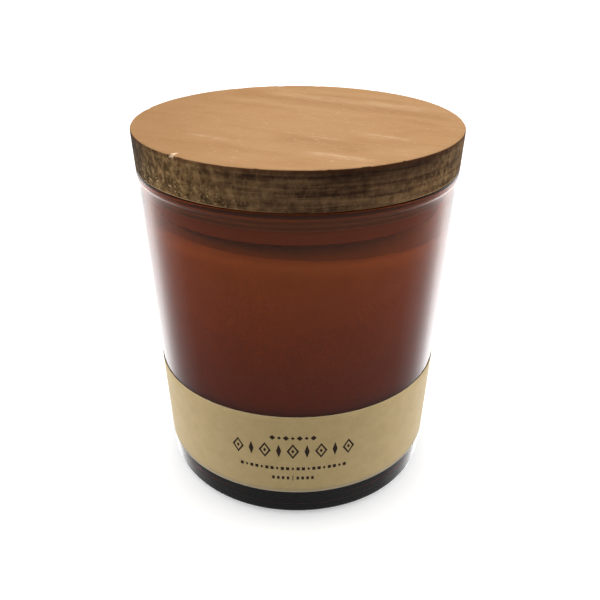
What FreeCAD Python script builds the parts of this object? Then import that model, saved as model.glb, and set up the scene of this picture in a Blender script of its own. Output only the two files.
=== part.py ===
"""Container candle in an amber glass tumbler with a turned wooden lid.

Row frame, millimetres: +Z up, origin at the centre of the foot, on the surface that the jar stands on.
The printed side of the paper label faces -Y, and the label's overlapped seam is at the back, on +Y.
Rest position: lid on, its underside just clear of the rim, its plug and seal inside the mouth.

Each function below returns one solid. The jar, label, wax, wick and their small parts stay together.
The lid and its seal lift off along +Z.
"""

import FreeCAD
import Part
import math
import os

# ---- Driving dimensions, millimetres ----

# Glass tumbler: a slightly tapered wall with a beaded rim and a thick base.
JAR_HEIGHT = 93.2
WALL_RADIUS_AT_LABEL = 39.96  # outside radius at the label's lower edge
WALL_SLOPE = 0.0455  # radius gained per millimetre of height
BEAD_RADIUS = 44.05  # outside radius of the rounded rim
RIM_ROUND = 1.3  # radius of the rim's round section
BEAD_BLEND = 0.8  # hollow under the bead
HEEL_ROUND = 2.3  # rounding from the wall to the foot
FOOT_INNER_RADIUS = 31.5  # the foot stands on a flat ring outside this radius
PUNT_RADIUS = 29.0  # recess under the base
PUNT_DEPTH = 1.8
BASE_THICKNESS = 9.0
INNER_RADIUS_AT_FLOOR = 36.6
FLOOR_ROUND = 5.0

# Paper label: a band round the lower wall, its ends overlapped at the back.
LABEL_BOTTOM = 8.76
LABEL_TOP = 35.4
PAPER = 0.15
GLUE_LINE = 0.05
OVERLAP_DEGREES = 12.0

# Wooden lid: one turned piece, a disc above and a plug below.
LID_TOP_RADIUS = 44.5
LID_BOTTOM_RADIUS = 44.05
LID_THICKNESS = 10.3
LID_SEAT_GAP = 0.05
LID_EDGE_ROUND = 0.5
PLUG_RADIUS = 39.6
PLUG_DEPTH = 9.65
PLUG_CHAMFER = 0.8

# Silicone seal: a band in the plug's groove with three lips.
GROOVE_RADIUS = 37.8
GROOVE_TOP_BELOW_RIM = 2.0
SEAL_HEIGHT = 3.3
SEAL_BAND_RADIUS = 39.45
LIP_COUNT = 3
LIP_THICKNESS = 0.55
LIP_CLEARANCE = 0.2
SEAL_SIDE_CLEARANCE = 0.05

# Wax: filled to below the plug, its surface set at a slight tilt, high on the -X side.
WAX_LEVEL = 80.75
WAX_SLOPE = 0.0485
WAX_GAP = 0.06  # where the wax has drawn back from the glass

# Wick, the steel tab that holds it, and the adhesive disc under the tab.
WICK_RADIUS = 1.3
WICK_ABOVE_WAX = 2.4
TAB_RADIUS = 10.0
TAB_THICKNESS = 0.4
TAB_COLLAR_HEIGHT = 6.0
TAB_COLLAR_WALL = 0.35
TAB_RIB_RADIUS = 7.0
TAB_RIB_HEIGHT = 0.5
TAB_RIB_WIDTH = 1.2
STICKER_RADIUS = 9.0
STICKER_THICKNESS = 0.9

# Blank round paper sticker in the recess under the base.
BASE_STICKER_RADIUS = 25.0

# ---- Worked out from the dimensions above ----

UP = FreeCAD.Vector(0, 0, 1)
CENTRE = FreeCAD.Vector(0, 0, 0)
RIM_CENTRE_RADIUS = BEAD_RADIUS - RIM_ROUND
RIM_CENTRE_HEIGHT = JAR_HEIGHT - RIM_ROUND
INNER_RADIUS_AT_RIM = BEAD_RADIUS - 2 * RIM_ROUND
LID_SEAT = JAR_HEIGHT + LID_SEAT_GAP
PLUG_BOTTOM = LID_SEAT - PLUG_DEPTH
SEAL_TOP = JAR_HEIGHT - GROOVE_TOP_BELOW_RIM
SEAL_BOTTOM = SEAL_TOP - SEAL_HEIGHT
WICK_TOP = WAX_LEVEL + WICK_ABOVE_WAX
TAB_BOTTOM = BASE_THICKNESS + STICKER_THICKNESS


def outer_radius(height):
    """Outside radius of the glass wall."""
    return WALL_RADIUS_AT_LABEL + WALL_SLOPE * (height - LABEL_BOTTOM)


def inner_radius(height):
    """Inside radius of the glass wall, from the floor up to the rim's round section."""
    share = (height - BASE_THICKNESS) / (RIM_CENTRE_HEIGHT - BASE_THICKNESS)
    return INNER_RADIUS_AT_FLOOR + share * (INNER_RADIUS_AT_RIM - INNER_RADIUS_AT_FLOOR)


# ---- Helpers ----


def point(radius, height):
    """A point of a profile, in the plane that is turned about +Z."""
    return FreeCAD.Vector(radius, 0, height)


def line(start, end):
    return Part.LineSegment(start, end).toShape()


def turned(edges, degrees=360.0):
    """The solid made by turning a closed profile about +Z."""
    face = Part.Face(Part.Wire(edges))
    solid = face.revolve(CENTRE, UP, degrees)
    return solid if solid.Volume > 0 else solid.reversed()


def turned_outline(corners, degrees=360.0):
    """The same, for a profile of straight sides given as (radius, height) corners."""
    points = [point(*corner) for corner in corners]
    return turned([line(a, b) for a, b in zip(points, points[1:] + points[:1])], degrees)


def rounded(solid, radius, places):
    """The solid with its circular edges at these (radius, height) places rounded."""
    chosen = []
    for edge in solid.Edges:
        if not isinstance(edge.Curve, Part.Circle):
            continue
        for ring_radius, height in places:
            same_ring = abs(edge.Curve.Radius - ring_radius) < 0.02
            same_height = abs(edge.Curve.Center.z - height) < 0.02
            if same_ring and same_height:
                chosen.append(edge)
    if len(chosen) < len(places):
        raise ValueError(f"found {len(chosen)} of the edges at {places}")
    return solid.makeFillet(radius, chosen)


def cylinder(radius, bottom, top):
    return Part.makeCylinder(radius, top - bottom, FreeCAD.Vector(0, 0, bottom), UP)


# ---- Jar and what stays with it ----


def bead_foot():
    """Height at which the rim's round section leaves the outside of the wall."""
    low, high = RIM_CENTRE_HEIGHT - RIM_ROUND, RIM_CENTRE_HEIGHT
    for _ in range(40):
        middle = (low + high) / 2
        drop = RIM_CENTRE_HEIGHT - middle
        bulge = RIM_CENTRE_RADIUS + math.sqrt(RIM_ROUND**2 - drop**2)
        low, high = (middle, high) if bulge < outer_radius(middle) else (low, middle)
    return low


def glass_jar():
    foot_height = bead_foot()
    wall_foot = point(outer_radius(0), 0)
    wall_top = point(outer_radius(foot_height), foot_height)
    rim_top = point(RIM_CENTRE_RADIUS, JAR_HEIGHT)
    rim_inside = point(INNER_RADIUS_AT_RIM, RIM_CENTRE_HEIGHT)
    floor_edge = point(INNER_RADIUS_AT_FLOOR, BASE_THICKNESS)
    floor_centre = point(0, BASE_THICKNESS)
    punt_centre = point(0, PUNT_DEPTH)
    punt_edge = point(PUNT_RADIUS, PUNT_DEPTH)
    foot_inside = point(FOOT_INNER_RADIUS, 0)
    solid = turned(
        [
            line(foot_inside, wall_foot),
            line(wall_foot, wall_top),
            Part.Arc(wall_top, rim_top, rim_inside).toShape(),
            line(rim_inside, floor_edge),
            line(floor_edge, floor_centre),
            line(floor_centre, punt_centre),
            line(punt_centre, punt_edge),
            line(punt_edge, foot_inside),
        ]
    )
    solid = rounded(solid, HEEL_ROUND, [(outer_radius(0), 0)])
    solid = rounded(solid, FLOOR_ROUND, [(INNER_RADIUS_AT_FLOOR, BASE_THICKNESS)])
    return rounded(solid, BEAD_BLEND, [(outer_radius(foot_height), foot_height)])


def label_layer(lift, degrees):
    """One layer of the label's paper, lifted this far off the glass, over this angle."""
    corners = []
    for height, out in ((LABEL_BOTTOM, 0), (LABEL_BOTTOM, PAPER), (LABEL_TOP, PAPER), (LABEL_TOP, 0)):
        corners.append((outer_radius(height) + GLUE_LINE + lift + out, height))
    return turned_outline(corners, degrees)


def paper_label():
    overlap = label_layer(PAPER, OVERLAP_DEGREES)
    overlap.rotate(CENTRE, UP, 90 - OVERLAP_DEGREES / 2)
    return label_layer(0, 360.0).fuse(overlap).removeSplitter()


def adhesive_disc():
    return cylinder(STICKER_RADIUS, BASE_THICKNESS, TAB_BOTTOM)


def wick_tab():
    """Stamped steel disc with a stiffening rib and a collar that grips the wick."""
    plate = cylinder(TAB_RADIUS, TAB_BOTTOM, TAB_BOTTOM + TAB_THICKNESS)
    collar_radius = WICK_RADIUS + TAB_COLLAR_WALL
    collar = cylinder(collar_radius, TAB_BOTTOM, TAB_BOTTOM + TAB_COLLAR_HEIGHT)
    rib_foot = TAB_BOTTOM + TAB_THICKNESS
    rib = turned_outline(
        [
            (TAB_RIB_RADIUS - TAB_RIB_WIDTH / 2, rib_foot),
            (TAB_RIB_RADIUS + TAB_RIB_WIDTH / 2, rib_foot),
            (TAB_RIB_RADIUS + TAB_RIB_WIDTH / 4, rib_foot + TAB_RIB_HEIGHT),
            (TAB_RIB_RADIUS - TAB_RIB_WIDTH / 4, rib_foot + TAB_RIB_HEIGHT),
        ]
    )
    solid = plate.fuse(collar).fuse(rib).removeSplitter()
    wick_hole = cylinder(WICK_RADIUS, TAB_BOTTOM, TAB_BOTTOM + TAB_COLLAR_HEIGHT)
    return solid.cut(wick_hole)


def wick():
    return cylinder(WICK_RADIUS, TAB_BOTTOM, WICK_TOP)


def wax_fill():
    """The wax fits the inside of the glass and closes round the wick, its tab and the adhesive disc."""
    top = PLUG_BOTTOM
    body = turned_outline(
        [
            (0, BASE_THICKNESS + WAX_GAP),
            (INNER_RADIUS_AT_FLOOR - WAX_GAP, BASE_THICKNESS + WAX_GAP),
            (inner_radius(top) - WAX_GAP, top),
            (0, top),
        ]
    )
    body = rounded(
        body, FLOOR_ROUND, [(INNER_RADIUS_AT_FLOOR - WAX_GAP, BASE_THICKNESS + WAX_GAP)]
    )
    reach = 2 * LID_TOP_RADIUS
    above = Part.makeBox(2 * reach, 2 * reach, reach, FreeCAD.Vector(-reach, -reach, 0))
    above.rotate(CENTRE, FreeCAD.Vector(0, 1, 0), math.degrees(math.atan(WAX_SLOPE)))
    above.translate(FreeCAD.Vector(0, 0, WAX_LEVEL))
    for inside in (above, wick(), wick_tab(), adhesive_disc()):
        body = body.cut(inside)
    return body.Solids[0]


def base_sticker():
    bottom = PUNT_DEPTH - PAPER
    return cylinder(BASE_STICKER_RADIUS, bottom, PUNT_DEPTH)


# ---- Lid and its seal ----


def wooden_lid():
    lid_top = LID_SEAT + LID_THICKNESS
    corners = [
        (0, PLUG_BOTTOM),
        (PLUG_RADIUS - PLUG_CHAMFER, PLUG_BOTTOM),
        (PLUG_RADIUS, PLUG_BOTTOM + PLUG_CHAMFER),
        (PLUG_RADIUS, SEAL_BOTTOM - SEAL_SIDE_CLEARANCE),
        (GROOVE_RADIUS, SEAL_BOTTOM - SEAL_SIDE_CLEARANCE),
        (GROOVE_RADIUS, SEAL_TOP + SEAL_SIDE_CLEARANCE),
        (PLUG_RADIUS, SEAL_TOP + SEAL_SIDE_CLEARANCE),
        (PLUG_RADIUS, LID_SEAT),
        (LID_BOTTOM_RADIUS, LID_SEAT),
        (LID_TOP_RADIUS, lid_top),
        (0, lid_top),
    ]
    solid = turned_outline(corners)
    return rounded(
        solid, LID_EDGE_ROUND, [(LID_BOTTOM_RADIUS, LID_SEAT), (LID_TOP_RADIUS, lid_top)]
    )


def lid_seal():
    """A flat silicone band with thin lips that reach towards the glass."""
    seal = turned_outline(
        [
            (GROOVE_RADIUS + SEAL_SIDE_CLEARANCE, SEAL_BOTTOM),
            (SEAL_BAND_RADIUS, SEAL_BOTTOM),
            (SEAL_BAND_RADIUS, SEAL_TOP),
            (GROOVE_RADIUS + SEAL_SIDE_CLEARANCE, SEAL_TOP),
        ]
    )
    pitch = (SEAL_HEIGHT - LIP_THICKNESS) / (LIP_COUNT - 1)
    for count in range(LIP_COUNT):
        bottom = SEAL_BOTTOM + count * pitch
        top = bottom + LIP_THICKNESS
        tip = inner_radius(bottom) - LIP_CLEARANCE
        root = SEAL_BAND_RADIUS - 0.2
        lip = turned_outline(
            [(root, bottom), (tip, bottom + LIP_THICKNESS / 3), (tip, top), (root, top)]
        )
        seal = seal.fuse(lip)
    return seal.removeSplitter()


NODES = {
    "glass_jar": glass_jar,
    "paper_label": paper_label,
    "wax_fill": wax_fill,
    "wick": wick,
    "wick_tab": wick_tab,
    "wick_tab_sticker": adhesive_disc,
    "base_sticker": base_sticker,
    "wooden_lid": wooden_lid,
    "lid_seal": lid_seal,
}


def main():
    os.makedirs("parts", exist_ok=True)
    for name, build in NODES.items():
        solid = build()
        if not solid.isValid() or len(solid.Solids) != 1:
            raise ValueError(f"{name} is not one valid solid")
        solid.exportStep(f"parts/{name}.step")
        print(f"{name}: {solid.Volume / 1000:.2f} cm3")


main()
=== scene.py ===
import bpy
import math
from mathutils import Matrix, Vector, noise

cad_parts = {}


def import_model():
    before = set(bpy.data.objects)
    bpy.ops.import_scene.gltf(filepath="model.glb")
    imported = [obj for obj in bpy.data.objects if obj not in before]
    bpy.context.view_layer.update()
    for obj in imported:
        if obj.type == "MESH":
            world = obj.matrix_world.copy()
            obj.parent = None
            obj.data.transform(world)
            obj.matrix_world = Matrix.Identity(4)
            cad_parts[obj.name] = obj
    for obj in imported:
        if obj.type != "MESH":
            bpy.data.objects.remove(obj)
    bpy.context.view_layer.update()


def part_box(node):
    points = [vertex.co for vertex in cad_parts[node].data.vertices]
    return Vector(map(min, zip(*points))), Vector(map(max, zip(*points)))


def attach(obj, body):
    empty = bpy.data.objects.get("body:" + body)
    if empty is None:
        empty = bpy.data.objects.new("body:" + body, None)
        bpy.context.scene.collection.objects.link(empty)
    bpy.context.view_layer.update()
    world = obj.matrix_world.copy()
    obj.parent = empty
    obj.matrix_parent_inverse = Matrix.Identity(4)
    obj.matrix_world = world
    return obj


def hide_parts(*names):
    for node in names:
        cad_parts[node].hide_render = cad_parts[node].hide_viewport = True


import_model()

# Container candle in an amber glass tumbler with a turned wooden lid.
# Metres, in the row frame: +Z up, the foot's centre at the origin, the label's printed side facing -Y.

MM = 0.001

# ---- Places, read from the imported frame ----


def reach(node):
    """A turned CAD node's outside radius."""
    low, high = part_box(node)
    return max(high.x, high.y, -low.x, -low.y)


def span(node):
    """A CAD node's lowest and highest points."""
    low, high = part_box(node)
    return low.z, high.z


JAR_TOP = span("glass_jar")[1]
BEAD_RADIUS = reach("glass_jar")
LABEL_BOTTOM, LABEL_TOP = span("paper_label")
PLUG_BOTTOM, LID_TOP = span("wooden_lid")
LID_RADIUS = reach("wooden_lid")
SEAL_BOTTOM, SEAL_TOP = span("lid_seal")
WICK_BOTTOM, WICK_TOP = span("wick")
WICK_RADIUS = reach("wick")
TAB_BOTTOM, TAB_TOP = span("wick_tab")
TAB_RADIUS = reach("wick_tab")
STICKER_RADIUS = reach("wick_tab_sticker")
FLOOR = span("wick_tab_sticker")[0]
BASE_STICKER_BOTTOM, PUNT_DEPTH = span("base_sticker")
BASE_STICKER_RADIUS = reach("base_sticker")

# ---- Shapes that the boxes don't give ----

WALL_RADIUS_AT_LABEL = 39.96 * MM
WALL_SLOPE = 0.0455
RIM_ROUND = 1.3 * MM
RIM_TOP_ROUND = 0.65 * MM  # the rim is squarer above than below
NECK_BELOW_BEAD = 0.7 * MM  # the wall bends into the bead from here
HEEL_ROUND = 2.3 * MM
FOOT_INNER_RADIUS = 31.5 * MM
FOOT_INNER_ROUND = 0.6 * MM
PUNT_RADIUS = 30.3 * MM  # the recess under the base, which a steep step joins to the foot
STICKER_GAP = 0.02 * MM  # between the recess and the sticker in it
INNER_RADIUS_AT_FLOOR = 36.6 * MM
FLOOR_ROUND = 5.0 * MM
GLASS_WAVE = 0.06 * MM
GLASS_WAVE_PITCH = 45  # noise cells in a metre
PAPER = 0.15 * MM
GLUE_LINE = 0.05 * MM
LABEL_TILT = 0.006  # the label was stuck on by hand, a little higher on the +X side
LID_SEAT = JAR_TOP + 0.05 * MM
LID_TAPER = 0.45 * MM
LID_EDGE_ROUND = 0.5 * MM
PLUG_RADIUS = 39.6 * MM
PLUG_ROUND = 0.8 * MM
GROOVE_CLEARANCE = 0.05 * MM  # between the seal and its groove
GROOVE_RADIUS = 37.8 * MM
SEAL_BAND_RADIUS = 39.45 * MM
WAX_LEVEL = 80.75 * MM
WAX_SLOPE = 0.0485
TAB_THICKNESS = 0.4 * MM
TAB_RIB_RADIUS = 7.0 * MM
WAX_CLEARANCE = 0.03 * MM  # between the wax and the tab and foam disc that it buries
WAX_BITE = 0.05 * MM  # the wax wets the glass, so its face lies just inside the glass

RIM_CENTRE_RADIUS = BEAD_RADIUS - RIM_ROUND
RIM_CENTRE_HEIGHT = JAR_TOP - RIM_ROUND
INNER_RADIUS_AT_RIM = BEAD_RADIUS - 2 * RIM_ROUND


def outer_radius(height):
    return WALL_RADIUS_AT_LABEL + WALL_SLOPE * (height - LABEL_BOTTOM)


def inner_radius(height):
    share = (height - FLOOR) / (RIM_CENTRE_HEIGHT - FLOOR)
    return INNER_RADIUS_AT_FLOOR + share * (INNER_RADIUS_AT_RIM - INNER_RADIUS_AT_FLOOR)


# ---- Mesh helpers ----


def arc(centre_radius, centre_height, radius, start, end, steps):
    """Outline points on an arc, its angles in degrees from the outward direction."""
    points = []
    for step in range(steps + 1):
        angle = math.radians(start + (end - start) * step / steps)
        height = centre_height + radius * math.sin(angle)
        points.append((centre_radius + radius * math.cos(angle), height))
    return points


def between(start, end, steps):
    """Outline points that divide the line from start to end, without the two ends."""
    return [
        tuple(a + (b - a) * step / steps for a, b in zip(start, end)) for step in range(1, steps)
    ]


def new_piece(name, points, faces, smooth=True):
    mesh = bpy.data.meshes.new(name)
    mesh.from_pydata(points, [], faces)
    mesh.validate()
    mesh.polygons.foreach_set("use_smooth", [smooth] * len(mesh.polygons))
    piece = bpy.data.objects.new(name, mesh)
    bpy.context.scene.collection.objects.link(piece)
    return piece


def turned(name, outline, steps=256, shape=None):
    """A closed mesh turned about +Z from an outline of (radius, height) points, counterclockwise.

    An outline whose ends lie on the axis makes a solid body, and any other is joined end to start
    as a ring. shape, if given, moves each point: it takes and returns a Vector.
    """
    solid = outline[0][0] == 0 and outline[-1][0] == 0
    rows = outline[1:-1] if solid else outline
    points = []
    for step in range(steps):
        angle = 2 * math.pi * step / steps
        turn = Vector((math.cos(angle), math.sin(angle), 0))
        points += [turn * radius + Vector((0, 0, height)) for radius, height in rows]
    count = len(rows)
    faces = []
    for step in range(steps):
        here, there = step * count, (step + 1) % steps * count
        for row in range(count - 1 if solid else count):
            after = (row + 1) % count
            faces.append((here + row, there + row, there + after, here + after))
    if solid:
        first, last = len(points), len(points) + 1
        points += [Vector((0, 0, outline[0][1])), Vector((0, 0, outline[-1][1]))]
        for step in range(steps):
            here, there = step * count, (step + 1) % steps * count
            faces.append((first, there, here))
            faces.append((last, here + count - 1, there + count - 1))
    if shape:
        points = [shape(point) for point in points]
    return new_piece(name, points, faces)


def place_piece(piece, body, slot, *nodes, material=None):
    """Gives the piece its material, rides it on its body and hides the CAD nodes that it stands for;
    slot is not used.
    """
    if material:
        piece.data.materials.append(material)
    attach(piece, body)
    if nodes:
        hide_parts(*nodes)
    return piece


# ---- Material helper ----


class Nodes:
    """Short ways to add and join the nodes of a tree."""

    def __init__(self, tree):
        self.tree = tree

    def node(self, kind, inputs=None, **attributes):
        node = self.tree.nodes.new(kind)
        for name, value in attributes.items():
            setattr(node, name, value)
        for socket, value in (inputs or {}).items():
            self.feed(node.inputs[socket], value)
        return node

    def feed(self, socket, value):
        """Joins an output to a socket, or sets the socket to a plain value."""
        if isinstance(value, bpy.types.NodeSocket):
            self.tree.links.new(value, socket)
        else:
            socket.default_value = value

    def math(self, operation, a, b=0.0):
        return self.node("ShaderNodeMath", {0: a, 1: b}, operation=operation).outputs[0]

    def total(self, *parts):
        """The sum of (value, weight) parts."""
        result = 0.0
        for value, weight in parts:
            result = self.math("ADD", self.math("MULTIPLY", value, weight), result)
        return result

    def within(self, value, low, high, to_low=0.0, to_high=1.0):
        """The value taken smoothly from low..high to to_low..to_high, and held beyond them."""
        inputs = {"Value": value, "From Min": low, "From Max": high}
        inputs |= {"To Min": to_low, "To Max": to_high}
        node = self.node("ShaderNodeMapRange", inputs, interpolation_type="SMOOTHSTEP")
        return node.outputs["Result"]

    def choose(self, share, a, b):
        """a where share is 0, and b where it is 1."""
        node = self.node("ShaderNodeMix", data_type="FLOAT")
        for socket, value in zip((0, 2, 3), (share, a, b)):
            self.feed(node.inputs[socket], value)
        return node.outputs[0]

    def ramp(self, value, stops):
        """A colour ramp through (place, (red, green, blue)) stops."""
        node = self.node("ShaderNodeValToRGB", {"Fac": value})
        elements = node.color_ramp.elements
        while len(elements) < len(stops):
            elements.new(0.5)
        for element, (place, colour) in zip(elements, stops):
            element.position = place
            element.color = (*colour, 1)
        return node.outputs["Color"]


class Finish(Nodes):
    """A procedural material and its Principled shader."""

    def __init__(self, name, **settings):
        self.material = bpy.data.materials.new(name)
        self.material.use_nodes = True
        super().__init__(self.material.node_tree)
        self.shader = self.tree.nodes["Principled BSDF"]
        for socket, value in settings.items():
            self.shader.inputs[socket.replace("_", " ")].default_value = value

    def drive(self, socket, value):
        self.feed(self.shader.inputs[socket], value)

    def position(self, turn=0.0, stretch=(1, 1, 1)):
        """The surface point in millimetres, turned about +Z by degrees, then stretched."""
        coordinates = self.node("ShaderNodeTexCoord").outputs["Object"]
        inputs = {"Vector": coordinates, "Rotation": (0, 0, math.radians(turn)), "Scale": (1000,) * 3}
        turned_point = self.node("ShaderNodeMapping", inputs).outputs["Vector"]
        inputs = {"Vector": turned_point, "Scale": stretch}
        return self.node("ShaderNodeMapping", inputs).outputs["Vector"]

    def axes(self, turn=0.0):
        """The surface point's X, Y and Z in millimetres, turned about +Z by degrees."""
        return self.node("ShaderNodeSeparateXYZ", {"Vector": self.position(turn)}).outputs

    def noise(self, vector, scale, detail=2.0, roughness=0.5, distortion=0.0):
        inputs = {"Vector": vector, "Scale": scale, "Detail": detail, "Roughness": roughness}
        inputs["Distortion"] = distortion
        return self.node("ShaderNodeTexNoise", inputs).outputs["Fac"]

    def blend(self, share, a, b):
        """Shader a where share is 0, and b where it is 1."""
        node = self.node("ShaderNodeMixShader", {0: share, 1: a, 2: b})
        return node.outputs["Shader"]

    def mix(self, share, a, b):
        node = self.node("ShaderNodeMix", data_type="RGBA")
        self.feed(node.inputs[0], share)
        for socket, colour in ((node.inputs[6], a), (node.inputs[7], b)):
            self.feed(socket, (*colour, 1) if isinstance(colour, tuple) else colour)
        return node.outputs[2]

    def bump(self, height, distance):
        """Bumps the surface: distance is in millimetres, for a height from 0 to 1."""
        node = self.node("ShaderNodeBump", {"Height": height, "Distance": distance * MM})
        self.drive("Normal", node.outputs["Normal"])


# ---- Glass tumbler ----


def glass_wave(point):
    """How far the glass wanders from a true surface, from its pressing and fire polish."""
    return GLASS_WAVE * noise.noise(point * GLASS_WAVE_PITCH)


def wavy(point):
    """Moves the point out or in by the glass's wander, except in the middle of the base."""
    flat = Vector((point.x, point.y, 0))
    still = 20 * MM
    if flat.length < still:
        return point
    return point + flat.normalized() * glass_wave(point)


def bead_foot():
    """Angle on the rim's round section where it meets the outside of the wall."""
    low, high = -90.0, 0.0
    for _ in range(40):
        angle = (low + high) / 2
        height = RIM_CENTRE_HEIGHT + RIM_ROUND * math.sin(math.radians(angle))
        bulge = RIM_CENTRE_RADIUS + RIM_ROUND * math.cos(math.radians(angle))
        low, high = (angle, high) if bulge < outer_radius(height) else (low, angle)
    return low


def amber_glass():
    finish = Finish(
        "amber_glass",
        Base_Color=(1, 1, 1, 1),
        Roughness=0.02,
        IOR=1.5,
        Transmission_Weight=1.0,
    )
    absorb = finish.node("ShaderNodeVolumeAbsorption")
    absorb.inputs["Color"].default_value = (0.865, 0.58, 0.14, 1)
    absorb.inputs["Density"].default_value = 950
    output = finish.tree.nodes["Material Output"]
    finish.feed(output.inputs["Volume"], absorb.outputs["Volume"])
    return finish.material


def glass_jar():
    """The tumbler, its outline running from under the base up the outside and down the inside."""
    wall_start = (outer_radius(HEEL_ROUND), HEEL_ROUND)
    angle = bead_foot() + 12
    bead_low = RIM_CENTRE_HEIGHT + RIM_ROUND * math.sin(math.radians(angle))
    neck_height = bead_low - NECK_BELOW_BEAD
    neck = (outer_radius(neck_height), neck_height)
    floor_wall = (inner_radius(FLOOR + FLOOR_ROUND), FLOOR + FLOOR_ROUND)
    rim_inside = (INNER_RADIUS_AT_RIM, RIM_CENTRE_HEIGHT)
    recess = PUNT_DEPTH + STICKER_GAP
    outline = [(0, recess)]
    outline += between(outline[0], (BASE_STICKER_RADIUS + 1 * MM, recess), 6)
    outline += [(PUNT_RADIUS, recess)]
    outline += arc(FOOT_INNER_RADIUS, FOOT_INNER_ROUND, FOOT_INNER_ROUND, 205, 270, 5)
    outline += between((FOOT_INNER_RADIUS, 0), (outer_radius(0) - HEEL_ROUND, 0), 3)
    outline += arc(outer_radius(0) - HEEL_ROUND, HEEL_ROUND, HEEL_ROUND, -90, 2, 14)
    outline += between(wall_start, neck, 40)
    outline += [neck]
    corner = RIM_TOP_ROUND
    outline += arc(RIM_CENTRE_RADIUS, RIM_CENTRE_HEIGHT, RIM_ROUND, angle, 0, 12)
    outline += between((BEAD_RADIUS, RIM_CENTRE_HEIGHT), (BEAD_RADIUS, JAR_TOP - corner), 4)
    outline += arc(BEAD_RADIUS - corner, JAR_TOP - corner, corner, 0, 90, 8)
    outline += arc(RIM_CENTRE_RADIUS, RIM_CENTRE_HEIGHT, RIM_ROUND, 95, 180, 14)
    outline += between(rim_inside, floor_wall, 40)
    outline += arc(floor_wall[0] - FLOOR_ROUND, FLOOR + FLOOR_ROUND, FLOOR_ROUND, 0, -90, 12)
    outline += between((floor_wall[0] - FLOOR_ROUND, FLOOR), (0, FLOOR), 8)
    outline += [(0, FLOOR)]
    piece = turned("jar_glass", outline, 256, wavy)
    place_piece(piece, "jar", "amber_glass", "glass_jar", material=amber_glass())


# ---- Wax ----

# How far in from the glass the rings of the top surface lie, in mm: close together at the meniscus.
SURFACE_RINGS = (0.15, 0.35, 0.6, 0.9, 1.3, 1.9, 2.8, 4, 6, 8.5, 11.5)
SURFACE_RINGS += (15, 18.5, 22, 25.5, 28.5, 31, 33, 34.5, 35.8, 36.8, 37.6)


def soy_wax():
    """Cream wax with painted shade: darker with depth in place of the light lost on its way down through
    it, and near-black close to the jar's floor.
    """
    finish = Finish("soy_wax", Roughness=0.45)
    bloom = finish.noise(finish.position(), 0.12, 5, 0.6)
    colour = finish.ramp(bloom, [(0.3, (0.84, 0.74, 0.56)), (0.7, (0.92, 0.85, 0.70))])
    # Painted shade: the wax is coloured darker from the wax line down towards the bottom.
    painted_depth_shade = finish.within(finish.axes()["Z"], 20, 88, 0.25, 1.0)
    colour = finish.mix(painted_depth_shade, (0.25, 0.12, 0.09), colour)
    # Painted shade: the wax within a few mm of the jar's floor is coloured near-black.
    painted_floor_shade = finish.within(finish.axes()["Z"], FLOOR / MM + 5, FLOOR / MM + 12, 1.0, 0.0)
    colour = finish.mix(painted_floor_shade, colour, (0.05, 0.03, 0.022))
    # The top face and the upper few mm of the side turn a brighter cream: the top face's colour, and
    # painted light on the side just below the wax line.
    level = finish.total((finish.axes()["Z"], 1.0), (finish.axes()["X"], WAX_SLOPE))
    top = finish.within(level, WAX_LEVEL / MM - 6, WAX_LEVEL / MM - 1)
    finish.drive("Base Color", finish.mix(top, colour, (1.0, 0.93, 0.78)))
    frost = finish.noise(finish.position(), 1.2, 4, 0.6)
    finish.bump(frost, 0.05)
    return finish.material


def wax_surface(point):
    """Tilts the top of the wax, with a meniscus up the glass, a dip by the wick and slow ripples."""
    if point.z < WAX_LEVEL - 0.1 * MM:
        return wavy(point)
    radius = math.hypot(point.x, point.y)
    edge = inner_radius(point.z) + WAX_BITE - radius
    meniscus = 0.15 * MM * math.exp(-edge / (0.4 * MM))
    dip = -0.5 * MM * math.exp(-((radius - WICK_RADIUS) / (5 * MM)) ** 2)
    ripple = 0.18 * MM * noise.noise(point * 60)
    lift = meniscus + dip + ripple - WAX_SLOPE * point.x
    moved = Vector((point.x, point.y, point.z + lift))
    out = Vector((point.x, point.y, 0)).normalized()
    tall = inner_radius(moved.z) - inner_radius(point.z)
    share = max(0.0, 1 - edge / (4 * MM))
    return moved + out * (glass_wave(moved) + tall) * share


def wax_fill():
    """The wax as a ring round the wick, hollowed below for the tab and its foam disc."""

    def wall(height):
        return inner_radius(height) + WAX_BITE

    collar = WICK_RADIUS + 0.4 * MM
    rib_foot, rib_shoulder = 0.7 * MM, 0.4 * MM  # half the rib's width, below and above
    plate_top = TAB_BOTTOM + 0.45 * MM
    rib_top = plate_top + 0.5 * MM
    low = FLOOR - WAX_BITE
    corner = wall(FLOOR + FLOOR_ROUND) - FLOOR_ROUND
    outline = [
        (WICK_RADIUS, WAX_LEVEL),
        (WICK_RADIUS, TAB_TOP),
        (collar, TAB_TOP),
        (collar, plate_top),
        (TAB_RIB_RADIUS - rib_foot, plate_top),
        (TAB_RIB_RADIUS - rib_shoulder, rib_top),
        (TAB_RIB_RADIUS + rib_shoulder, rib_top),
        (TAB_RIB_RADIUS + rib_foot, plate_top),
        (TAB_RADIUS + WAX_CLEARANCE, plate_top),
        (TAB_RADIUS + WAX_CLEARANCE, TAB_BOTTOM),
        (STICKER_RADIUS + WAX_CLEARANCE, TAB_BOTTOM),
        (STICKER_RADIUS + WAX_CLEARANCE, low),
    ]
    outline += between((STICKER_RADIUS, low), (corner, low), 4)
    outline += arc(corner, low + FLOOR_ROUND, FLOOR_ROUND, -90, 0, 12)
    top_edge = (wall(WAX_LEVEL), WAX_LEVEL)
    below = WAX_LEVEL - 3 * MM
    outline += between((wall(low + FLOOR_ROUND), low + FLOOR_ROUND), (wall(below), below), 30)
    outline += [(wall(below), below), top_edge]
    for inward in SURFACE_RINGS:
        outline.append((top_edge[0] - inward * MM, WAX_LEVEL))
    piece = turned("wax", outline, 192, wax_surface)
    place_piece(piece, "jar", "soy_wax", "wax_fill", material=soy_wax())


# ---- Wooden lid ----

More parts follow.
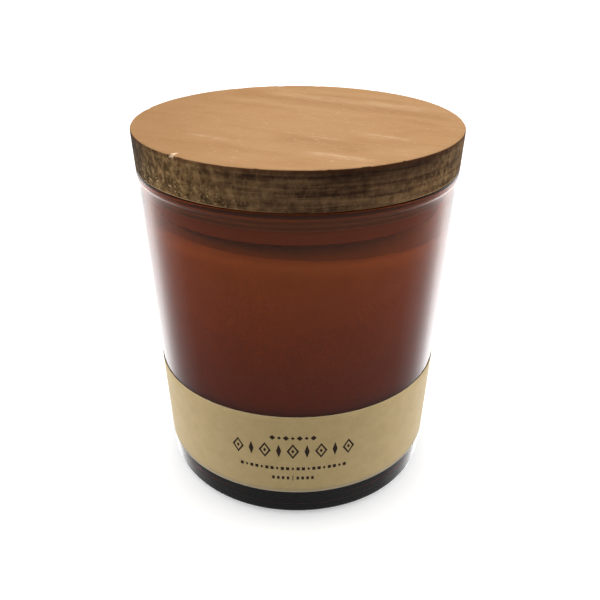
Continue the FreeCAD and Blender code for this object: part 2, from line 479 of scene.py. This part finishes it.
GRAIN_TURN = 26.0
CHIP = Vector((-29.2, -33.6, 0)) * MM  # a splinter gone from the disc's top edge
DARK_FIGURE = (0.33, 0.165, 0.07)
PALE_FIGURE = (0.80, 0.57, 0.36)
FRESH_WOOD = (0.86, 0.62, 0.42)


def wood_figure(finish):
    """The board: place along and across the grain, soft bands, fibre lines and slow patches."""
    along, across, deep = finish.axes(GRAIN_TURN)
    drift = finish.noise(finish.position(GRAIN_TURN, (0.035, 0.07, 0.07)), 1.0, 3, 0.55)
    bent = finish.total((across, 1.0), (deep, 0.6), (drift, 16.0))
    inputs = {"X": finish.math("MULTIPLY", along, 0.016), "Y": finish.math("MULTIPLY", bent, 0.15)}
    flow = finish.node("ShaderNodeCombineXYZ", inputs).outputs["Vector"]
    bands = finish.noise(flow, 1.0, 4, 0.6)
    fibre = finish.noise(finish.position(GRAIN_TURN, (0.09, 1.9, 1.9)), 1.0, 5, 0.65)
    patch = finish.noise(finish.position(GRAIN_TURN, (0.05, 0.09, 0.09)), 1.0, 4, 0.6, 0.6)
    return along, finish.total((across, 1.0), (drift, 7.0), (1.0, -3.5)), bands, fibre, patch


def streak(finish, along, across, place, width, start, end):
    """A soft-ended streak of the figure: its place across the grain, and where it runs along it."""
    offset = finish.math("ABSOLUTE", finish.math("SUBTRACT", across, place))
    side = finish.within(offset, width * 0.1, width, 1.0, 0.0)
    opening = finish.within(along, start - 3, start + 5)
    closing = finish.within(along, end - 5, end + 3, 1.0, 0.0)
    return finish.math("MULTIPLY", side, finish.math("MULTIPLY", opening, closing))


def chipped(finish):
    """1 in the fresh wood of the chip, 0 elsewhere."""
    inward = finish.node("ShaderNodeMapping", {"Vector": finish.position(41), "Scale": (1.5, 0.45, 0.0)})
    place = (0, -CHIP.length / MM * 0.45, 0)
    inputs = {0: inward.outputs["Vector"], 1: place}
    away = finish.node("ShaderNodeVectorMath", inputs, operation="DISTANCE").outputs["Value"]
    low = finish.within(finish.axes()["Z"], LID_TOP / MM - 0.9, LID_TOP / MM - 0.5)
    return finish.math("MULTIPLY", finish.within(away, 0.7, 1.3, 1.0, 0.0), low)


def wood_face():
    """The sanded and oiled top, and the plug, with painted shade on the plug's bottom."""
    finish = Finish("wood_face", Specular_IOR_Level=0.0)
    along, across, bands, fibre, patch = wood_figure(finish)
    colour = finish.ramp(
        finish.total((bands, 0.32), (fibre, 0.23), (patch, 0.45)),
        [
            (0.34, (0.415, 0.225, 0.100)),
            (0.46, (0.465, 0.262, 0.124)),
            (0.58, (0.495, 0.288, 0.142)),
            (0.72, (0.55, 0.340, 0.185)),
        ],
    )
    gaps = finish.noise(finish.position(GRAIN_TURN, (0.22, 0.9, 0.9)), 1.0, 4, 0.6)
    broken = finish.within(gaps, 0.35, 0.6)
    # Dark streaks, then pale ones, in mm: place across the grain, width, start and end along it.
    for place, width, start, end, depth in (
        (20.5, 7.0, -34, 38, 0.42),
        (-18.0, 7.5, 2, 29, 0.42),
        (9.5, 3.0, -30, -6, 0.25),
        (31.0, 3.5, -12, 20, 0.3),
        (-31.0, 3.5, -8, 14, 0.25),
    ):
        dark = streak(finish, along, across, place, width, start, end)
        share = finish.math("MULTIPLY", dark, finish.total((broken, 0.5 * depth), (0.5, depth)))
        colour = finish.mix(share, colour, DARK_FIGURE)
    for place, width, start, end, strength in (
        (-25.8, 2.2, -18, -7, 0.34),
        (-26.3, 3.0, 15, 31, 0.32),
        (-7.0, 2.8, 21, 34, 0.3),
        (26.3, 5.0, -22, 30, 0.2),
        (-13.0, 2.0, 2, 20, 0.16),
    ):
        pale = streak(finish, along, across, place, width, start, end)
        share = finish.math("MULTIPLY", finish.math("MULTIPLY", pale, broken), strength)
        colour = finish.mix(share, colour, PALE_FIGURE)
    grit = finish.noise(finish.position(GRAIN_TURN, (0.6, 1.0, 1.0)), 1.1, 2, 0.5)
    colour = finish.mix(finish.within(grit, 0.64, 0.74, 0.0, 0.35), colour, PALE_FIGURE)
    colour = finish.mix(finish.within(grit, 0.26, 0.34, 0.3, 0.0), colour, DARK_FIGURE)
    side, _, height = finish.axes()
    colour = finish.mix(finish.within(side, -44, -6, 0.42, 0.0), colour, (0.30, 0.155, 0.065))
    plug = finish.within(height, LID_SEAT / MM - 1, LID_SEAT / MM, 1.0, 0.0)
    colour = finish.mix(plug, colour, (0.42, 0.265, 0.135))
    # Painted shade: the plug's bottom face, over the wax in the dark under the lid, is coloured dark.
    painted_plug_bottom_shade = finish.within(height, PLUG_BOTTOM / MM + 0.1, PLUG_BOTTOM / MM + 0.9, 1.0, 0.0)
    colour = finish.mix(painted_plug_bottom_shade, colour, (0.16, 0.10, 0.055))
    finish.drive("Base Color", finish.mix(chipped(finish), colour, FRESH_WOOD))
    finish.drive("Roughness", finish.within(fibre, 0.3, 0.7, 0.42, 0.58))
    finish.bump(fibre, 0.04)
    return finish.material


def wood_edge():
    """The disc's rim: dark, banded in front, flecked on the left and pitted on the right, with painted
    shade, a painted shadow where it sits on the glass and a painted highlight on its lower edge.
    """
    finish = Finish("wood_edge", Roughness=0.7, Specular_IOR_Level=0.02)
    side, _, height = finish.axes()
    band = finish.noise(finish.position(0, (0.045, 0.045, 0.75)), 1.0, 4, 0.6, 0.5)
    mottle = finish.noise(finish.position(0, (1, 1, 0.8)), 0.5, 5, 0.7)
    speck = finish.noise(finish.position(0, (1, 1, 1.2)), 1.5, 3, 0.6)
    colour = finish.ramp(
        finish.total((band, 0.62), (mottle, 0.38)),
        [
            (0.36, (0.030, 0.015, 0.009)),
            (0.46, (0.092, 0.049, 0.025)),
            (0.56, (0.172, 0.098, 0.047)),
            (0.68, (0.25, 0.150, 0.072)),
        ],
    )
    left = finish.within(side, -38, -2, 1.0, 0.0)
    right = finish.within(side, 18, 40)
    olive = finish.mix(finish.within(mottle, 0.38, 0.66), (0.070, 0.038, 0.014), (0.32, 0.195, 0.080))
    colour = finish.mix(finish.total((left, 0.85), (right, 0.42)), colour, olive)
    # Painted shade darkening the far left of the rim, where it turns away.
    painted_far_left_shade = finish.within(side, -44, -31, 0.88, 0.0)
    colour = finish.mix(painted_far_left_shade, colour, (0.03, 0.018, 0.012))
    # Painted shade on the upper part of the rim in front, fading out at the far right.
    shade = finish.within(height, LID_TOP / MM - 6.0, LID_TOP / MM - 1.0, 0.0, 0.72)
    shade = finish.math("MULTIPLY", shade, finish.within(side, -6, 10))
    shade = finish.math("MULTIPLY", shade, finish.within(side, 30, 40, 1.0, 0.0))
    colour = finish.mix(shade, colour, (0.022, 0.010, 0.007))
    low_down = finish.within(height, LID_SEAT / MM + 6.0, LID_SEAT / MM + 2.0, 0.15, 1.0)
    flecks = finish.math("MULTIPLY", finish.within(speck, 0.56, 0.68), low_down)
    flecks = finish.math("MULTIPLY", flecks, finish.total((left, 0.75), (1.0, 0.12)))
    colour = finish.mix(flecks, colour, (0.58, 0.42, 0.22))
    pits = finish.within(speck, 0.30, 0.42, 1.0, 0.0)
    pits = finish.math("MULTIPLY", pits, finish.total((right, 0.9), (1.0, 0.15)))
    colour = finish.mix(pits, colour, (0.012, 0.006, 0.003))
    # A darker red-brown band on the rim just below the rounding of its top edge.
    dark_top_band = finish.within(height, LID_TOP / MM - 1.3, LID_TOP / MM - 0.6)
    colour = finish.mix(finish.math("MULTIPLY", dark_top_band, 0.5), colour, (0.07, 0.022, 0.008))
    # Painted highlight: a pale band on the lower edge's rounding at left and right, where the edge
    # catches the light.
    painted_lower_edge_highlight = finish.within(height, LID_SEAT / MM + 0.55, LID_SEAT / MM + 0.25)
    painted_lower_edge_highlight = finish.math("MULTIPLY", painted_lower_edge_highlight, finish.total((left, 0.8), (right, 0.8)))
    colour = finish.mix(painted_lower_edge_highlight, colour, (0.62, 0.42, 0.22))
    # Painted shadow: a near-black line at the very bottom of the rim, where the lid sits on the glass.
    painted_seat_shadow = finish.within(height, LID_SEAT / MM + 0.02, LID_SEAT / MM + 0.12, 1.0, 0.0)
    colour = finish.mix(painted_seat_shadow, colour, (0.018, 0.009, 0.005))
    finish.drive("Base Color", finish.mix(chipped(finish), colour, FRESH_WOOD))
    finish.bump(finish.total((mottle, 0.7), (speck, 0.3)), 0.25)
    return finish.material


def lid_shape(point):
    """Small irregularities of a hand-sanded disc, and the nicks along its top edge."""
    radius = math.hypot(point.x, point.y)
    if radius < PLUG_RADIUS + 1 * MM:
        return point
    out = Vector((point.x, point.y, 0)) / radius
    near_top = max(0.0, 1 - (LID_TOP - point.z) / (1.2 * MM))
    near_rim = max(0.0, 1 - (LID_RADIUS - radius) / (1.5 * MM))
    nick = max(0.0, noise.noise(point * 420) - 0.25)
    splinter = max(0.0, 1 - (point - CHIP - Vector((0, 0, point.z))).length / (1.1 * MM))
    gone = (0.35 * nick + 0.9 * splinter) * MM * near_top * near_rim
    wear = 0.05 * MM * noise.noise(point * 160) * near_rim
    return point + out * (wear - gone) - Vector((0, 0, 0.7 * gone))


def wooden_lid():
    """Disc and plug in one piece, with the seal's groove in the plug."""
    bottom_radius = LID_RADIUS - LID_TAPER
    groove_low, groove_high = SEAL_BOTTOM - GROOVE_CLEARANCE, SEAL_TOP + GROOVE_CLEARANCE
    flat_radius = PLUG_RADIUS - PLUG_ROUND
    side_bottom = PLUG_BOTTOM + PLUG_ROUND
    round_low = LID_SEAT + LID_EDGE_ROUND
    round_high = LID_TOP - LID_EDGE_ROUND
    edge = LID_EDGE_ROUND
    outline = [(0, PLUG_BOTTOM)]
    outline += between((0, PLUG_BOTTOM), (flat_radius, PLUG_BOTTOM), 8)
    outline += arc(flat_radius, side_bottom, PLUG_ROUND, -90, 0, 5)
    outline += between((PLUG_RADIUS, side_bottom), (PLUG_RADIUS, groove_low), 3)
    outline += [(PLUG_RADIUS, groove_low), (GROOVE_RADIUS, groove_low)]
    outline += [(GROOVE_RADIUS, groove_high), (PLUG_RADIUS, groove_high)]
    outline += [(PLUG_RADIUS, LID_SEAT)]
    outline += between((PLUG_RADIUS, LID_SEAT), (bottom_radius - edge, LID_SEAT), 4)
    outline += arc(bottom_radius - edge, round_low, edge, -90, 0, 5)
    outline += between((bottom_radius, round_low), (LID_RADIUS, round_high), 30)
    outline += arc(LID_RADIUS - edge, round_high, edge, 0, 90, 6)
    outline += between((LID_RADIUS - edge, LID_TOP), (LID_RADIUS - 3 * MM, LID_TOP), 8)
    outline += between((LID_RADIUS - 3 * MM, LID_TOP), (0, LID_TOP), 10)
    outline += [(0, LID_TOP)]
    piece = turned("lid_wood", outline, 720, lid_shape)
    piece.data.materials.append(wood_face())
    piece.data.materials.append(wood_edge())
    for face in piece.data.polygons:
        face.material_index = 1 if face.normal.z < 0.75 and face.center.z > SEAL_TOP else 0
    place_piece(piece, "lid", "acacia_wood", "wooden_lid")


# ---- Seal ----


def silicone():
    finish = Finish("silicone", Base_Color=(0.42, 0.38, 0.33, 1))
    haze = finish.noise(finish.position(), 0.6, 3)
    finish.drive("Roughness", finish.within(haze, 0.3, 0.7, 0.3, 0.42))
    return finish.material


def lid_seal():
    """A band with three lips, each thinned and rounded at its tip."""
    low, high = SEAL_BOTTOM, SEAL_TOP
    lips = 3
    lip = 0.5 * MM
    tip_round = 0.18 * MM
    inside = GROOVE_RADIUS + GROOVE_CLEARANCE
    outline = [(inside, low), (SEAL_BAND_RADIUS - 0.1 * MM, low)]
    pitch = (high - low - lip) / (lips - 1)
    for count in range(lips):
        bottom = low + count * pitch
        tip = inner_radius(bottom) - 0.18 * MM
        outline.append((SEAL_BAND_RADIUS, bottom + 0.02 * MM))
        outline += arc(tip - tip_round, bottom + lip - tip_round, tip_round, -70, 80, 6)
        outline.append((SEAL_BAND_RADIUS, bottom + lip))
    outline += [(SEAL_BAND_RADIUS - 0.1 * MM, high), (inside, high)]
    piece = turned("seal_ring", outline, 256)
    place_piece(piece, "lid", "silicone", "lid_seal", material=silicone())


# ---- Label ----


def kraft():
    finish = Finish("kraft_paper", Roughness=0.6, Specular_IOR_Level=0.45, Sheen_Weight=0.2)
    fibres = finish.noise(finish.position(0, (0.5, 0.5, 2.2)), 1.6, 4, 0.65, 1.5)
    cloud = finish.noise(finish.position(), 0.25, 4, 0.6)
    tone = finish.total((fibres, 0.5), (cloud, 0.5))
    colour = finish.ramp(
        tone,
        [
            (0.3, (0.50, 0.355, 0.148)),
            (0.5, (0.57, 0.415, 0.182)),
            (0.7, (0.62, 0.465, 0.22)),
        ],
    )
    side, _, height = finish.axes()
    level = finish.total((height, 1.0), (side, -LABEL_TILT))
    # Painted highlight: a pale line along the label's bottom edge, and a fainter one along its top edge,
    # where the cut edges catch the light.
    painted_low_edge_highlight = finish.within(level, LABEL_BOTTOM / MM + 0.15, LABEL_BOTTOM / MM + 0.35, 0.6, 0.0)
    painted_high_edge_highlight = finish.within(level, LABEL_TOP / MM - 0.3, LABEL_TOP / MM - 0.12, 0.0, 0.2)
    painted_edge_highlight = finish.math("ADD", painted_low_edge_highlight, painted_high_edge_highlight)
    finish.drive("Base Color", finish.mix(painted_edge_highlight, colour, (0.86, 0.74, 0.56)))
    finish.bump(fibres, 0.03)
    return finish.material


def paper_label():
    """One strip of paper wound once round the glass, its end lifted over its start at the back."""
    overlap = 12.0
    rise = 4  # degrees over which the end climbs onto the start
    steps = 372
    start = 90 - overlap / 2
    turn = 360 + overlap
    rows = 14
    points = []
    for step in range(steps + 1):
        share = step / steps
        angle = math.radians(start + turn * share)
        past = (share * turn - (360 - rise)) / rise
        climb = max(0.0, min(1.0, past))
        lift = GLUE_LINE + (PAPER + 0.02 * MM) * climb * climb * (3 - 2 * climb)
        ring = []
        for side in (0, 1):
            for row in range(rows + 1):
                height = LABEL_BOTTOM + (LABEL_TOP - LABEL_BOTTOM) * row / rows
                radius = outer_radius(height) + lift + PAPER * side
                point = Vector((radius * math.cos(angle), radius * math.sin(angle), height))
                ring.append(point + Vector((0, 0, LABEL_TILT * point.x)))
        points += ring[: rows + 1][::-1] + ring[rows + 1 :]
    count = 2 * (rows + 1)
    faces = []
    for step in range(steps):
        here, there = step * count, (step + 1) * count
        for row in range(count):
            after = (row + 1) % count
            faces.append((here + row, there + row, there + after, here + after))
    faces.append(tuple(range(count - 1, -1, -1)))
    faces.append(tuple(steps * count + row for row in range(count)))
    piece = new_piece("label_strip", points, faces)
    place_piece(piece, "jar", "kraft_paper", "paper_label", material=kraft())


def on_label(u, height, lift):
    """The point u round from the label's front along its face, lifted off it."""
    radius = outer_radius(height) + GLUE_LINE + PAPER + lift
    angle = u / outer_radius(height) - math.pi / 2
    x = radius * math.cos(angle)
    return Vector((x, radius * math.sin(angle), height + LABEL_TILT * x))


def ink_shape(points, faces, centre, outline):
    """Adds one closed, thin shape of ink, fanned from its centre, to the print's points and faces."""
    for lift in (0.02 * MM, -0.01 * MM):
        first = len(points)
        points += [on_label(centre[0], centre[1], lift)]
        points += [on_label(centre[0] + u, centre[1] + v, lift) for u, v in outline]
        for step in range(len(outline)):
            here, there = first + 1 + step, first + 1 + (step + 1) % len(outline)
            faces.append((first, here, there) if lift > 0 else (first, there, here))
    count = len(outline) + 1
    for step in range(len(outline)):
        here, there = first + 1 + step, first + 1 + (step + 1) % len(outline)
        faces.append((here - count, here, there, there - count))


def lozenge(width, height):
    return [(width / 2, 0), (0, height / 2), (-width / 2, 0), (0, -height / 2)]


def bar(width, height):
    return [(x * width / 2, y * height / 2) for x, y in ((1, -1), (1, 1), (-1, 1), (-1, -1))]


def ring(width, height, stroke):
    """The four strokes of a lozenge drawn in outline."""
    outer, inner = lozenge(width, height), lozenge(width - 2 * stroke, height - 2.6 * stroke)
    strokes = []
    for step in range(4):
        after = (step + 1) % 4
        corners = [outer[step], outer[after], inner[after], inner[step]]
        middle = tuple(sum(corner[axis] for corner in corners) / 4 for axis in (0, 1))
        strokes.append((middle, [(x - middle[0], y - middle[1]) for x, y in corners]))
    return strokes


def label_print():
    """A plain ornament in four centred rows of lozenges and short bars, top row first."""
    points, faces = [], []
    middle = -1.0 * MM
    small_row, tall_row, long_row, last_row = (height * MM for height in (28.3, 23.7, 17.5, 14.1))

    def draw(u, height, outline):
        ink_shape(points, faces, (middle + u, height), outline)

    for place in range(-3, 4):
        wide = 1.7 * MM if place % 2 else 1.1 * MM
        draw(place * 1.85 * MM, small_row, lozenge(wide, wide))
    for place in range(-4, 5):
        u = place * 3.85 * MM
        if place % 2:
            draw(u, tall_row, lozenge(1.4 * MM, 4.6 * MM))
            continue
        draw(u, tall_row, lozenge(0.9 * MM, 1.4 * MM))
        for (x, y), stroke in ring(3.4 * MM, 5.2 * MM, 0.62 * MM):
            draw(u + x, tall_row + y, stroke)
    for place in range(-10, 11):
        outline = bar(0.9 * MM, 1.1 * MM) if place % 3 else lozenge(0.8 * MM, 1.2 * MM)
        draw(place * 1.44 * MM, long_row, outline)
    for place in range(-4, 5):
        outline = bar(0.7 * MM, 1.1 * MM) if place else bar(0.2 * MM, 1.8 * MM)
        draw(place * 1.35 * MM, last_row, outline)
    finish = Finish("brown_ink", Roughness=0.7, Specular_IOR_Level=0.1)
    soak = finish.noise(finish.position(), 3.0, 3, 0.6)
    finish.drive("Base Color", finish.mix(soak, (0.022, 0.012, 0.010), (0.060, 0.036, 0.026)))
    piece = new_piece("label_print", points, faces, smooth=False)
    place_piece(piece, "jar", "brown_ink", material=finish.material)


# ---- Wick and its tab, and the sticker under the base ----


def braid(point):
    """Two sets of strands wound opposite ways round the wick."""
    radius = math.hypot(point.x, point.y)
    angle = math.atan2(point.y, point.x)
    climb = point.z / (0.55 * MM)
    strands = max(math.cos(3 * angle + climb), math.cos(3 * angle - climb))
    share = 0.88 + 0.12 * strands if radius > 0.4 * WICK_RADIUS else 1.0
    return Vector((point.x * share, point.y * share, point.z))


def wick():
    finish = Finish("cotton", Roughness=0.85, Specular_IOR_Level=0.2)
    yarn = finish.noise(finish.position(), 4.0, 4, 0.6)
    finish.drive("Base Color", finish.mix(yarn, (0.72, 0.66, 0.54), (0.90, 0.87, 0.78)))
    finish.bump(yarn, 0.08)
    outline = [(0, WICK_BOTTOM)]
    hidden = WAX_LEVEL - 2.0 * MM  # few rings below this, inside the wax, and many above it
    outline += between((WICK_RADIUS, WICK_BOTTOM - 1 * MM), (WICK_RADIUS, hidden), 30)
    outline += [(WICK_RADIUS, hidden)]
    outline += between((WICK_RADIUS, hidden), (WICK_RADIUS, WICK_TOP - 0.25 * MM), 36)
    outline += [(0.92 * WICK_RADIUS, WICK_TOP - 0.08 * MM), (0.6 * WICK_RADIUS, WICK_TOP), (0, WICK_TOP)]
    piece = turned("wick_braid", outline, 48, braid)
    place_piece(piece, "jar", "cotton", "wick", material=finish.material)


def wick_tab():
    """A stamped disc with a rolled edge, a ring-shaped rib and the collar that grips the wick."""
    finish = Finish("tinned_steel", Metallic=1.0)
    brushed = finish.noise(finish.position(), 1.5, 4, 0.6)
    finish.drive("Base Color", finish.mix(brushed, (0.55, 0.55, 0.54), (0.74, 0.74, 0.73)))
    finish.drive("Roughness", finish.within(brushed, 0.3, 0.7, 0.25, 0.42))
    top = TAB_BOTTOM + TAB_THICKNESS
    hole, outside = WICK_RADIUS + 0.01 * MM, WICK_RADIUS + 0.36 * MM
    edge = 0.2 * MM
    rib = 0.45 * MM
    bend = 0.3 * MM
    outline = [(hole, TAB_BOTTOM)]
    outline += arc(TAB_RADIUS - edge, TAB_BOTTOM + edge, edge, -90, 90, 8)
    outline += arc(TAB_RIB_RADIUS, top, rib, 0, 180, 10)
    outline += arc(outside + bend, top + bend, bend, -90, -180, 5)
    outline += [(outside, TAB_TOP - 0.1 * MM), (outside - 0.1 * MM, TAB_TOP), (hole, TAB_TOP)]
    piece = turned("tab_plate", outline, 128)
    place_piece(piece, "jar", "tinned_steel", "wick_tab", material=finish.material)


def disc(name, radius, low, high, edge):
    """A flat disc with rounded edges."""
    outline = [(0, low)] + between((0, low), (radius - edge, low), 4)
    outline += arc(radius - edge, low + edge, edge, -90, 0, 4)
    outline += arc(radius - edge, high - edge, edge, 0, 90, 4)
    return turned(name, outline + [(0, high)], 128)


def wick_tab_sticker():
    finish = Finish("adhesive_foam", Roughness=0.8)
    cells = finish.noise(finish.position(), 5.0, 3, 0.5)
    finish.drive("Base Color", finish.mix(cells, (0.80, 0.80, 0.76), (0.90, 0.90, 0.87)))
    finish.bump(cells, 0.05)
    piece = disc("foam_disc", STICKER_RADIUS, FLOOR + 0.02 * MM, TAB_BOTTOM - 0.01 * MM, 0.15 * MM)
    place_piece(piece, "jar", "adhesive_foam", "wick_tab_sticker", material=finish.material)


def base_sticker():
    """The blank paper disc in the recess under the base."""
    finish = Finish("white_paper", Roughness=0.7, Specular_IOR_Level=0.3)
    fibres = finish.noise(finish.position(), 1.8, 5, 0.65, 0.8)
    finish.drive("Base Color", finish.mix(fibres, (0.78, 0.77, 0.73), (0.88, 0.87, 0.84)))
    finish.bump(fibres, 0.02)
    piece = disc("base_paper", BASE_STICKER_RADIUS, BASE_STICKER_BOTTOM, PUNT_DEPTH, 0.04 * MM)
    place_piece(piece, "jar", "white_paper", "base_sticker", material=finish.material)


# ---- Stage ----

VIEW_TARGET = Vector((0.75, 0, 48.65)) * MM
VIEW_DISTANCE = 223.9 * MM
VIEW_PITCH = 27.63
VIEW_ROLL = 0.25
LENS = 44.2


def camera():
    pitch = math.radians(VIEW_PITCH)
    data = bpy.data.cameras.new("camera")
    data.lens = LENS
    data.sensor_width = 36
    data.clip_start = 0.01
    data.clip_end = 20
    view = bpy.data.objects.new("camera", data)
    view.location = VIEW_TARGET + VIEW_DISTANCE * Vector((0, -math.cos(pitch), math.sin(pitch)))
    view.rotation_euler = (VIEW_TARGET - view.location).to_track_quat("-Z", "Y").to_euler()
    view.rotation_euler.rotate_axis("Z", math.radians(VIEW_ROLL))
    bpy.context.scene.collection.objects.link(view)
    bpy.context.scene.camera = view


def floor():
    """The white floor that the camera sees, and the glow that the other rays meet there.

    The glow fades out under the jar and is dimmer in front. Mirrored rays pass on to the tent.
    """
    finish = Finish("floor_white", Base_Color=(0.9, 0.9, 0.9, 1), Roughness=0.9)
    finish.drive("Emission Color", (1, 1, 1, 1))
    finish.drive("Emission Strength", 0.35)
    finish.drive("Specular IOR Level", 0.0)
    distance = finish.node("ShaderNodeVectorMath", {0: finish.position()}, operation="LENGTH")
    shaded_radius, open_radius = 37, 48
    open_floor = finish.within(distance.outputs["Value"], shaded_radius, open_radius)
    depth = finish.axes()["Y"]
    below = finish.math("MULTIPLY", finish.within(depth, -90, 130, 0.4, 1.3), open_floor)
    through = finish.math("MULTIPLY", open_floor, finish.within(depth, -60, 0, 0.2, 0.55))
    paths = finish.node("ShaderNodeLightPath").outputs
    strength = finish.choose(paths["Is Transmission Ray"], below, through)
    glow = finish.node("ShaderNodeEmission", {"Strength": strength}).outputs["Emission"]
    clear = finish.node("ShaderNodeBsdfTransparent").outputs["BSDF"]
    mirrored = finish.math("SUBTRACT", paths["Is Glossy Ray"], paths["Is Transmission Ray"])
    unseen = finish.blend(mirrored, glow, clear)
    shown = finish.blend(paths["Is Camera Ray"], unseen, finish.shader.outputs["BSDF"])
    finish.feed(finish.tree.nodes["Material Output"].inputs["Surface"], shown)
    half_side = 3.0
    level = -0.03 * MM  # just clear of the foot, so that the two faces don't coincide
    square = ((-1, -1), (1, -1), (1, 1), (-1, 1))
    points = [Vector((x * half_side, y * half_side, level)) for x, y in square]
    piece = new_piece("floor", points, [(0, 1, 2, 3)], smooth=False)
    piece.data.materials.append(finish.material)


def world():
    """A white tent, bright behind and beside the jar, and dimmer overhead and on the camera's side.

    Mirrored rays and rays through the glass each meet levels of their own.
    """
    light = bpy.data.worlds.new("tent")
    light.use_nodes = True
    tent = Nodes(light.node_tree)
    direction = tent.node("ShaderNodeTexCoord").outputs["Generated"]
    side, depth, height = tent.node("ShaderNodeSeparateXYZ", {0: direction}).outputs
    sideways = tent.within(tent.math("ABSOLUTE", side), 0.5, 1.0, 1.0, 2.0)
    lit = tent.math("MULTIPLY", tent.within(depth, -0.6, 0.4, 0.5, 2.2), sideways)
    lit = tent.math("MULTIPLY", lit, tent.within(height, 0.1, 0.95, 1.15, 0.53))
    through = tent.within(depth, -0.8, 0.5, 0.97, 3.4)
    through = tent.math("MULTIPLY", through, tent.within(height, 0.1, 0.95, 1.15, 0.45))
    # The mirrored glow from the camera's side, 0, to behind the jar, 1. The ramp holds a share of it.
    ramp_share = 0.5
    sweep = [(0, 0.25), (0.5, 0.32), (0.565, 0.45), (0.615, 0.55), (0.665, 0.72), (0.715, 1.05)]
    sweep += [(0.765, 1.5), (0.79, 1.8), (0.82, 2.05), (0.86, 1.95), (0.9, 1.65), (0.95, 1.4), (1, 1.2)]
    stops = [(place, (glow * ramp_share,) * 3) for place, glow in sweep]
    behind = tent.total((depth, 0.5), (0.5, 1.0))
    mirrored = tent.math("MULTIPLY", tent.ramp(behind, stops), 1 / ramp_share)
    mirrored = tent.math("MULTIPLY", mirrored, tent.within(height, -0.25, 0.25, 1.0, 0.65))
    mirrored = tent.math("MULTIPLY", mirrored, tent.within(side, -0.7, 0.7, 1.0, 1.14))
    mirrored = tent.math("MULTIPLY", mirrored, tent.within(height, -0.97, -0.7, 0.6, 1.0))
    paths = tent.node("ShaderNodeLightPath").outputs
    strength = tent.choose(paths["Is Glossy Ray"], lit, mirrored)
    strength = tent.choose(paths["Is Transmission Ray"], strength, through)
    seen = tent.math("MAXIMUM", strength, paths["Is Camera Ray"])
    tent.feed(light.node_tree.nodes["Background"].inputs["Strength"], seen)
    light.node_tree.nodes["Background"].inputs["Color"].default_value = (1, 1, 1, 1)
    bpy.context.scene.world = light


def colours():
    view = bpy.context.scene.view_settings
    view.view_transform = "Standard"
    view.look = "None"
    view.exposure = 0
    view.gamma = 1


glass_jar()
wax_fill()
wooden_lid()
lid_seal()
paper_label()
label_print()
wick()
wick_tab()
wick_tab_sticker()
base_sticker()
camera()
floor()
world()
colours()


def corners(box):
    return [list(corner) for corner in box]
